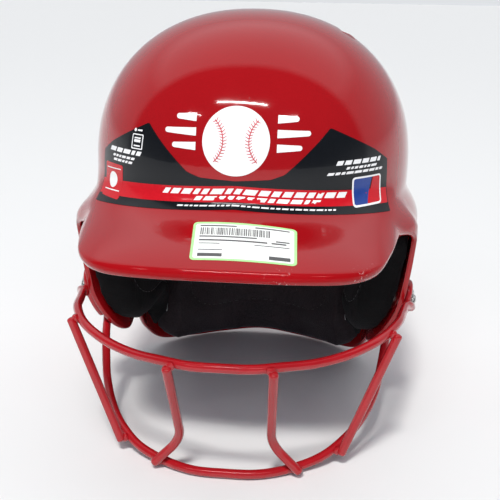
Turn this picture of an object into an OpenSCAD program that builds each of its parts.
// Youth batting helmet with a bolted wire face guard.
// +Z is up, -Y is the front. The origin is on the table under the middle of the helmet, which
// rests on the guard's chin wire and on the nape edge of the shell. Left and right in names are
// the wearer's, so left is +X.

/* [Shell] */
// Width of the dome at its widest level
dome_w = 185.4; // [180:0.2:190]
// Length of the dome ahead of its axis
dome_front = 103; // [100:1:106]
// Length of the dome behind its axis
dome_rear = 110; // [107:1:113]
// Height of the crown above the table
crown_z = 232.6; // [228:0.2:238]
// Height of the dome's widest level above the table
widest_z = 146; // [143:1:149]
// Wall thickness of the moulded shell
wall = 3; // [2.5:0.1:3.5]
// Extra thickness of the turned-down lip of the bill
lip = 3; // [2:0.5:4]
// How far the ear cups stand out of the side walls
ear_cup = 9; // [7:0.5:10]
// Diameter of the ear holes
ear_hole_d = 20; // [12:1:24]
// Width of the vent slots
vent_w = 10; // [8:1:12]
// Length of the crown vent slots
vent_l = 38; // [28:1:40]

/* [Pads] */
// Thickness of the foam pads
pad_t = 14; // [10:1:16]
// Space left between a pad and the shell
pad_gap = 0.8; // [0.7:0.1:1]

/* [Guard] */
// Diameter of the coated wire
wire_d = 4.8; // [4.5:0.1:5.2]
// Diameter of the guard screws
screw_d = 5; // [4:0.5:5]
// Outside diameter of the washers under the screw heads
washer_d = 15; // [13:1:16]

/* [Stickers] */
// Thickness of the decals and labels
film = 0.3; // [0.2:0.1:0.5]

/* [Hidden] */
$fn = 48;

// The dome's axis stands this far behind the origin, and its corners are this square
dome_y = 24;
dome_square = 2.14;
dome_round = 2.2;
// Handles of the curve that leads from the widest level down to the rim
wall_drop = 0.30;
rim_pull = 0.40;
// Centre of the ear holes
ear_y = 8;
ear_z = 106;
// Screw of the guard, on the ear flap
screw_y = -13;
screw_z = 70.5;
// A weld leaves this much between the two wires' surfaces
weld_gap = 0.2;
// A film stands this far off the faceted shell
film_gap = 0.36;

// Rim of the outer surface from the bill's middle round the +X side to the middle of the nape:
// [direction at the widest level, x, y, z]
RIM = [
    [0, 0, -128, 115.8], [14, 36, -125.5, 115.3], [27, 60, -118.5, 114.8], [38, 74, -105, 115],
    [47, 80, -87, 116.4], [54, 84.5, -63, 118], [59, 87.5, -44, 117], [64, 88.5, -33, 112],
    [69, 87.5, -29, 103], [74, 85.5, -28, 87], [79, 82, -27, 68], [85, 77, -22, 49],
    [92, 74, -7, 40], [100, 75, 15, 40], [109, 77, 34, 34], [119, 77, 53, 19],
    [130, 70, 72, 5], [146, 51, 91, 0.5], [163, 27, 104, 0.5], [180, 0, 108, 2.5]
];
rim_n = len(RIM) - 1;
// The bill ends and the ear flap begins between these two rim points
bill_end = 5;
flap_start = 7;

// Centre lines of the guard's wires on the +X side, from the middle to the end at the flap
FREE_CHIN = [
    [0, -107, 2.5], [18, -105.5, 2.5], [36, -97, 3.2], [50.5, -87.5, 6], [62.7, -74.3, 11.5],
    [71.5, -58, 16.5], [77.5, -44, 24.5], [80.5, -33.5, 34.5], [82.5, -25, 43.5]
];
FREE_BAR = [
    [0, -131, 71], [15, -129.2, 70.5], [30, -123.3, 70.2], [45.5, -114.5, 69.4],
    [61.3, -104, 70.8], [76, -89.8, 73.8], [85.6, -70.5, 75.6], [89.6, -51, 74.6],
    [92, -38, 74], [95, -31, 72.8]
];
// The rest of them lies on the ear flap: [y, z] of the loop round the screw and of the bar's end,
// which stops beside the front of that loop
LOOP = [
    [-11.5, 54], [-6.5, 62], [-5, 70], [-7.5, 77.5], [-13, 80.5], [-18.5, 77.5], [-20.5, 70],
    [-20, 62], [-17.5, 54.5]
];
BAR_END = [[-26, 70.5]];
// Places of the uprights' welds along the two wires, in points of those lists
OUTER_TOP = 5.43;
OUTER_FOOT = 3.4;
FRONT_TOP = 1.58;
FRONT_FOOT = 1.97;
// Corner of each front upright, and how far from it the bend starts
bend_reach = 9;
FRONT_BEND = [23.2, -104, 19.3];

function unit(v) = v / norm(v);
function mix(a, b, t) = a + (b - a) * t;
function ease(a, b, x) = let (t = min(1, max(0, (x - a) / (b - a)))) t * t * (3 - 2 * t);
function bend(p, t) =
    0.5 * (2 * p[1] + (p[2] - p[0]) * t + (2 * p[0] - 5 * p[1] + 4 * p[2] - p[3]) * t * t
    + (3 * p[1] - p[0] - 3 * p[2] + p[3]) * t * t * t);

// Point of the rim at u, which is 0 at the bill's middle and rim_n at the nape's middle, and
// goes on round the -X side
function rim_point(i) =
    let (turn = floor(i / (2 * rim_n)), k = i - 2 * rim_n * turn, p = RIM[min(k, 2 * rim_n - k)])
    k <= rim_n ? [360 * turn + p[0], p[1], p[2], p[3]]
    : [360 * (turn + 1) - p[0], -p[1], p[2], p[3]];
function rim(u) =
    let (i = floor(u)) bend([for (k = [-1 : 2]) rim_point(i + k)], u - i);

function dome_radius(a) =
    pow(pow(abs(sin(a)) / (dome_w / 2), dome_square)
    + pow(abs(cos(a)) / (cos(a) > 0 ? dome_front : dome_rear), dome_square), -1 / dome_square);
function ear_bulge(p) =
    ear_cup * ease(135, 117, p.z) * ease(30, 72, p.z) * ease(-57, -25, p.y)
    * (1 - ease(33, 83, p.y)) * min(1, abs(p.x) / 40);
function swell(p) = [p.x + (p.x < 0 ? -1 : 1) * ear_bulge(p), p.y, p.z];

// Outer surface: v runs from 0 at the crown to 1 at the widest level and 2 at the rim
function dome(u, v) =
    let (a = rim(u)[0], r = dome_radius(a) * pow(max(0, sin(90 * v)), 2 / dome_round))
    [r * sin(a), dome_y - r * cos(a),
     widest_z + (crown_z - widest_z) * pow(max(0, cos(90 * v)), 2 / dome_round)];
function side(u, t) =
    let (k = rim(u), r = [k[1], k[2], k[3]], e = dome(u, 1), l = norm(e - r),
         p1 = e - [0, 0, wall_drop * l], p2 = r + rim_pull * (e - r), s = 1 - t)
    s * s * s * e + 3 * s * s * t * p1 + 3 * s * t * t * p2 + t * t * t * r;
// With cups false it leaves the ear cups out
function skin(u, v, cups = true) =
    let (p = v <= 1 ? dome(u, v) : side(u, v - 1)) cups ? swell(p) : p;
function normal(u, v, cups = true) =
    let (h = 0.02, vv = max(v, 0.04), a = skin(u + h, vv, cups) - skin(u - h, vv, cups),
         b = skin(u, min(2, vv + h), cups) - skin(u, max(0.02, vv - h), cups))
    unit(cross(b, a));
// Point at depth d inside the outer surface
function inside(u, v, d, cups = true) = skin(u, v, cups) - d * normal(u, v, cups);
function wall_at(u, v) =
    wall + lip * (1 - ease(bill_end, flap_start, min(abs(u), 2 * rim_n - u))) * ease(1.84, 1.97, v);

// Closed solid between two equal grids of points. A grid that closes on itself gives the two
// points, on the top and on the bottom, that close its first row
module slab(top, bottom, poles = []) {
    ring = len(poles) > 0;
    rows = len(top);
    cols = len(top[0]);
    last = ring ? cols : cols - 1;
    n = rows * cols;
    points = concat([for (g = [top, bottom]) for (row = g) for (p = row) p], poles);
    function at(g, i, j) = g * n + i * cols + j % cols;
    function quad(a, b, c, d) = [[a, b, c], [a, c, d]];
    faces = concat(
        [for (i = [0 : rows - 2]) for (j = [0 : last - 1])
            each quad(at(0, i, j), at(0, i, j + 1), at(0, i + 1, j + 1), at(0, i + 1, j))],
        [for (i = [0 : rows - 2]) for (j = [0 : last - 1])
            each quad(at(1, i, j), at(1, i + 1, j), at(1, i + 1, j + 1), at(1, i, j + 1))],
        [for (j = [0 : last - 1])
            each quad(at(0, rows - 1, j), at(0, rows - 1, j + 1), at(1, rows - 1, j + 1),
                at(1, rows - 1, j))],
        [for (j = [0 : last - 1])
            each ring ? [[2 * n, at(0, 0, j + 1), at(0, 0, j)],
                         [2 * n + 1, at(1, 0, j), at(1, 0, j + 1)]]
            : quad(at(0, 0, j + 1), at(0, 0, j), at(1, 0, j), at(1, 0, j + 1))],
        ring ? [] : [for (i = [0 : rows - 2])
            each quad(at(0, i, 0), at(0, i + 1, 0), at(1, i + 1, 0), at(1, i, 0))],
        ring ? [] : [for (i = [0 : rows - 2])
            each quad(at(0, i + 1, cols - 1), at(0, i, cols - 1), at(1, i, cols - 1),
                at(1, i + 1, cols - 1))]
    );
    polyhedron(points, faces);
}

function steps(a, b, n) = [for (i = [0 : n]) mix(a, b, i / n)];
// Values of u at the shell's own columns of facets, which number 78
function columns(a, b) = [for (i = [a : b]) i * rim_n / 39];
// Values of v at the shell's own rows of facets, from a to b
function rows(a, b) =
    [for (v = concat(steps(0.1, 1, 9), steps(1.12, 1.84, 7), [1.92, 1.97, 2]))
        if (v >= a && v <= b) v];

// Round wire swept along a path
function frames(path) =
    let (n = len(path),
         dirs = [for (i = [0 : n - 1]) unit(path[min(n - 1, i + 1)] - path[max(0, i - 1)])])
    [for (i = 0, a = unit(cross(dirs[0], [0, 0, 1])); i < n;
          i = i + 1, a = i < n ? unit(a - (a * dirs[i]) * dirs[i]) : a)
        [a, cross(dirs[i], a)]];
module wire(path, d, sides = 12) {
    f = frames(path);
    n = len(path);
    points = [for (i = [0 : n - 1]) for (k = [0 : sides - 1])
        path[i] + d / 2 * (cos(360 * k / sides) * f[i][0] + sin(360 * k / sides) * f[i][1])];
    faces = concat(
        [for (i = [0 : n - 2]) for (k = [0 : sides - 1])
            let (a = i * sides + k, b = i * sides + (k + 1) % sides)
            each [[a, a + sides, b + sides], [a, b + sides, b]]],
        [[for (k = [0 : sides - 1]) k]],
        [[for (k = [sides - 1 : -1 : 0]) (n - 1) * sides + k]]
    );
    polyhedron(points, faces);
}

// Wire centre lines, mirrored to the -X side for u below 0
function mirror_x(p, flip) = flip ? [-p.x, p.y, p.z] : p;
function along(list, u) =
    let (a = abs(u), m = len(list) - 1, i = min(m - 1, floor(a)),
         p = [for (k = [-1 : 2])
             i + k < 0 ? mirror_x(list[1], true)
             : i + k > m ? 2 * list[m] - list[m - 1]
             : list[i + k]])
    mirror_x(bend(p, a - i), u < 0);
function whole(list, per) =
    let (m = (len(list) - 1) * per) [for (i = [-m : m]) along(list, i / per)];
function heading(list, u) = unit(along(list, u + 0.05) - along(list, u - 0.05));
// Centre of an upright that is welded on the outside of a wire, running the way of dir
function weld(list, u, dir) =
    let (n = unit(cross(dir, heading(list, u))))
    along(list, u) + (n.y < 0 ? n : -n) * (wire_d + weld_gap);

// Round rod from a to b
module rod(a, b, d) {
    v = b - a;
    translate(a) rotate([0, acos(v.z / norm(v)), atan2(v.y, v.x)]) cylinder(h = norm(v), d = d);
}
module both_sides() {
    children();
    mirror([1, 0, 0]) children();
}

// [u, v] of the surface point whose coordinates a and b (0 is x, 1 is y, 2 is z) are the goal's,
// searched from a starting [u, v]
function locate(uv, a, b, goal, n = 7) =
    n == 0 ? uv
    : let (h = 0.01, p = skin(uv[0], uv[1]), pu = (skin(uv[0] + h, uv[1]) - p) / h,
           pv = (skin(uv[0], uv[1] + h) - p) / h, da = goal[0] - p[a], db = goal[1] - p[b],
           k = pu[a] * pv[b] - pv[a] * pu[b])
      locate([uv[0] + (da * pv[b] - db * pv[a]) / k, uv[1] + (db * pu[a] - da * pu[b]) / k],
             a, b, goal, n - 1);

// Place and direction of the guard screw on the +X ear flap
screw_uv = locate([11, 1.7], 1, 2, [screw_y, screw_z]);
screw_at = skin(screw_uv[0], screw_uv[1]);
screw_dir = normal(screw_uv[0], screw_uv[1]);
// Point at height h above the +X flap's surface
function on_flap(yz, h) = let (uv = locate([11, 1.7], 1, 2, yz)) inside(uv[0], uv[1], -h);
// Whole centre lines of the two bent wires
CHIN = concat(FREE_CHIN, [for (p = LOOP) on_flap(p, wire_d / 2 + 0.6)]);
BAR = concat(FREE_BAR, [for (p = BAR_END) on_flap(p, 5.4)]);
// Heights above the flap along the screw: the wires lie between the spacer's two ends
washer_h = 1.2;
washer_low = wire_d + 0.9;
head_low = washer_low + washer_h + 0.1;
head_h = 3;
nut_low = -wall - 2.6;
nut_flange_h = 1.6;
module on_screw_axis(h) {
    p = screw_at + h * screw_dir;
    translate(p)
        rotate([0, acos(screw_dir.z), atan2(screw_dir.y, screw_dir.x)])
        children();
}

// Slot through the crown, square to the dome there
module vent() {
    translate([47.5, 27, 215]) rotate([0, 0, 16]) rotate([0, 34, 0])
        linear_extrude(60, center = true) hull() for (s = [-1, 1])
            translate([0, s * (vent_l - vent_w) / 2]) circle(d = vent_w);
}

module shell() {
    us = columns(0, 77);
    vs = rows(0, 2);
    color("firebrick")
    difference() {
        slab([for (v = vs) [for (u = us) skin(u, v)]],
             [for (v = vs) [for (u = us) inside(u, v, wall_at(u, v))]],
             [[0, dome_y, crown_z], [0, dome_y, crown_z - wall]]);
        translate([0, ear_y, ear_z]) rotate([0, 90, 0])
            cylinder(h = 300, d = ear_hole_d, center = true);
        both_sides() {
            on_screw_axis(-10) cylinder(h = 20, d = screw_d + 2.4);
            vent();
        }
    }
}

// Foam pad over a patch of the shell, thinner along its four edges. It fills the ear cups to a
// face that runs on evenly past them. With level true its low end stays level and full, and so
// reaches the rim with its whole thickness
module pad(us, vs, level = false, t = pad_t) {
    d0 = wall + pad_gap;
    nu = len(us) - 1;
    nv = len(vs) - 1;
    function edge(i, j) =
        (i == 0 || (i == nv && !level) ? 0.5 : 1) * (j == 0 || j == nu ? 0.5 : 1);
    function face(u, v, d) =
        let (n = normal(u, v, false), k = level ? ease(1.4, 1.75, v) : 0)
        inside(u, v, d0, false) - (d - d0) * unit([n.x, n.y, n.z * (1 - k)]);
    slab([for (v = vs) [for (u = us) inside(u, v, d0)]],
         [for (i = [0 : nv]) [for (j = [0 : nu]) face(us[j], vs[i], d0 + t * edge(i, j))]]);
}

module crown_pad() {
    n = 12;
    reach = [38, 52];
    function under(s, t, d) =
        let (x = reach.x * s * sqrt(1 - t * t / 2), y = reach.y * t * sqrt(1 - s * s / 2),
             a = atan2(x, -y), q = norm([x, y]) / (dome_radius(a) - d))
        [x, dome_y + y,
         widest_z + (crown_z - widest_z - d) * pow(1 - pow(q, dome_round), 1 / dome_round)];
    function grid(d) = [for (i = [0 : n]) [for (j = [0 : n]) under(2 * j / n - 1, 1 - 2 * i / n, d)]];
    color("dimgray") slab(grid(wall + pad_gap), grid(wall + pad_gap + pad_t));
}

module front_pad() {
    color("dimgray") pad(steps(-6.2, 6.2, 14), steps(0.64, 1.08, 5));
}

module rear_pad() {
    color("dimgray") pad(columns(32, 46), rows(0.65, 2), true);
}

module temple_pad() {
    color("dimgray") pad(steps(7.4, 14.6, 8), steps(0.62, 1.06, 5));
}
module left_temple_pad() temple_pad();
module right_temple_pad() mirror([1, 0, 0]) temple_pad();

module ear_pad() {
    pocket_d = 18;
    color("black")
    difference() {
        pad(concat(columns(16, 31), [15.35]), rows(1.1, 1.98));
        translate([0, ear_y, ear_z]) rotate([0, 90, 0]) cylinder(h = 150, d = ear_hole_d + 16);
        on_screw_axis(nut_low - 1) cylinder(h = 20, d = pocket_d);
    }
}
module left_ear_pad() ear_pad();
module right_ear_pad() mirror([1, 0, 0]) ear_pad();

module guard_chin_wire() {
    color("crimson") wire(whole(CHIN, 3), wire_d);
}
module guard_upper_bar() {
    color("crimson") wire(whole(BAR, 2), wire_d);
}

// Uprights stand past the middles of their welds by this much at the top and at the foot
past_top = 1.8;
past_foot = 1;
module outer_upright() {
    dir = unit(along(CHIN, OUTER_FOOT) - along(BAR, OUTER_TOP));
    a = weld(BAR, OUTER_TOP, dir);
    b = weld(CHIN, OUTER_FOOT, dir);
    color("crimson") rod(a - past_top * unit(b - a), b + past_foot * unit(b - a), wire_d);
}
module front_upright() {
    down = unit(FRONT_BEND - along(BAR, FRONT_TOP));
    out = unit(along(CHIN, FRONT_FOOT) - FRONT_BEND);
    a = weld(BAR, FRONT_TOP, down);
    b = weld(CHIN, FRONT_FOOT, out);
    up = unit(a - FRONT_BEND);
    low = unit(b - FRONT_BEND);
    curve = [for (t = [0 : 1 / 6 : 1])
        FRONT_BEND + bend_reach * ((1 - t) * (1 - t) * up + t * t * low)];
    color("crimson") wire(concat([a + past_top * up], curve, [b + past_foot * low]), wire_d, 20);
}
module guard_left_outer_upright() outer_upright();
module guard_right_outer_upright() mirror([1, 0, 0]) outer_upright();
module guard_left_front_upright() front_upright();
module guard_right_front_upright() mirror([1, 0, 0]) front_upright();

module guard_spacers() {
    color("dimgray") both_sides() on_screw_axis(0.3) difference() {
        cylinder(h = washer_low - 0.4, d = screw_d + 3);
        translate([0, 0, -1]) cylinder(h = washer_low + 2, d = screw_d + 0.4);
    }
}
module guard_washers() {
    color("silver") both_sides() on_screw_axis(washer_low) difference() {
        cylinder(h = washer_h, d = washer_d);
        translate([0, 0, -1]) cylinder(h = washer_h + 2, d = screw_d + 0.4);
    }
}
module guard_screws() {
    color("silver") both_sides() on_screw_axis(0) difference() {
        union() {
            translate([0, 0, nut_low]) cylinder(h = head_low - nut_low + 1, d = screw_d);
            translate([0, 0, head_low]) intersection() {
                cylinder(h = head_h, d = screw_d + 4.5);
                translate([0, 0, head_h - 8]) sphere(d = 16);
            }
        }
        for (a = [0, 90]) translate([0, 0, head_low]) rotate([0, 0, a + 20])
            translate([-2.4, -0.5, head_h - 1.6]) cube([4.8, 1, 2]);
    }
}
module guard_tee_nuts() {
    color("silver") both_sides() on_screw_axis(nut_low) difference() {
        union() {
            cylinder(h = nut_flange_h, d = 13);
            cylinder(h = -nut_low - 0.3, d = screw_d + 2);
        }
        translate([0, 0, -1]) cylinder(h = wall + 6, d = screw_d + 0.2);
    }
}

// v where the outer surface comes down to height z
function level(u, z, lo = 0.05, hi = 1.9, n = 20) =
    let (m = (lo + hi) / 2)
    n == 0 ? m : skin(u, m).z > z ? level(u, z, m, hi, n - 1) : level(u, z, lo, m, n - 1);
// Thin film on the outer surface over a grid of [u, v]
module film_on(grid) {
    slab([for (row = grid) [for (q = row) inside(q[0], q[1], -film_gap - film)]],
         [for (row = grid) [for (q = row) inside(q[0], q[1], -film_gap)]]);
}

// Generic ball between speed bars on the forehead
module emblem_decal() {
    mid_z = 169.5;
    ball = 17;
    n = 8;
    function spot(x, z) = locate([x / 15, 0.75], 0, 2, [x, mid_z + z]);
    color("white") {
        film_on([for (i = [0 : n]) [for (j = [0 : n])
            let (s = 2 * j / n - 1, t = 1 - 2 * i / n)
            spot(ball * s * sqrt(1 - t * t / 2), ball * t * sqrt(1 - s * s / 2))]]);
        for (side = [-1, 1], bar = [[11, 31, 2.2], [4, 37, 2.2], [-3, 33, 2.2]])
            film_on([for (t = [1, 0, -1]) [for (k = [0 : 3])
                let (w = side > 0 ? k / 3 : 1 - k / 3)
                spot(side * mix(20, bar[1], w), bar[0] + t * bar[2] * (1 - 0.7 * w))]]);
    }
}

// Wide label round the forehead with two peaks, open below the emblem
LABEL_TOP = [[0, 150], [10, 151], [14, 153.5], [19.5, 162], [28.5, 175.8], [45.5, 163.2], [52, 157]];
module forehead_label() {
    us = steps(-4.7, 4.7, 44);
    rows = 6;
    color("white") film_on([for (i = [0 : rows]) [for (u = us)
        let (a = abs(rim(u)[0]),
             z = mix(lookup(a, LABEL_TOP), mix(136.3, 131, a / 52), i / rows))
        [u, level(u, z)]]]);
}

// Small sticker on the bill
STICKER = [[-18.8, -90.2], [32.5, -91], [34.2, -119], [-16.4, -119.4]];
module price_sticker() {
    n = 6;
    color("white") film_on([for (i = [0 : n / 2]) [for (j = [0 : n])
        let (s = 2 * i / n, t = j / n,
             p = mix(mix(STICKER[0], STICKER[1], t), mix(STICKER[3], STICKER[2], t), s))
        locate([p.x / 22, 1.6], 0, 1, p)]]);
}

shell();
crown_pad();
front_pad();
rear_pad();
left_temple_pad();
right_temple_pad();
left_ear_pad();
right_ear_pad();
guard_chin_wire();
guard_upper_bar();
guard_left_outer_upright();
guard_left_front_upright();
guard_right_front_upright();
guard_right_outer_upright();
guard_spacers();
guard_washers();
guard_screws();
guard_tee_nuts();
emblem_decal();
forehead_label();
price_sticker();
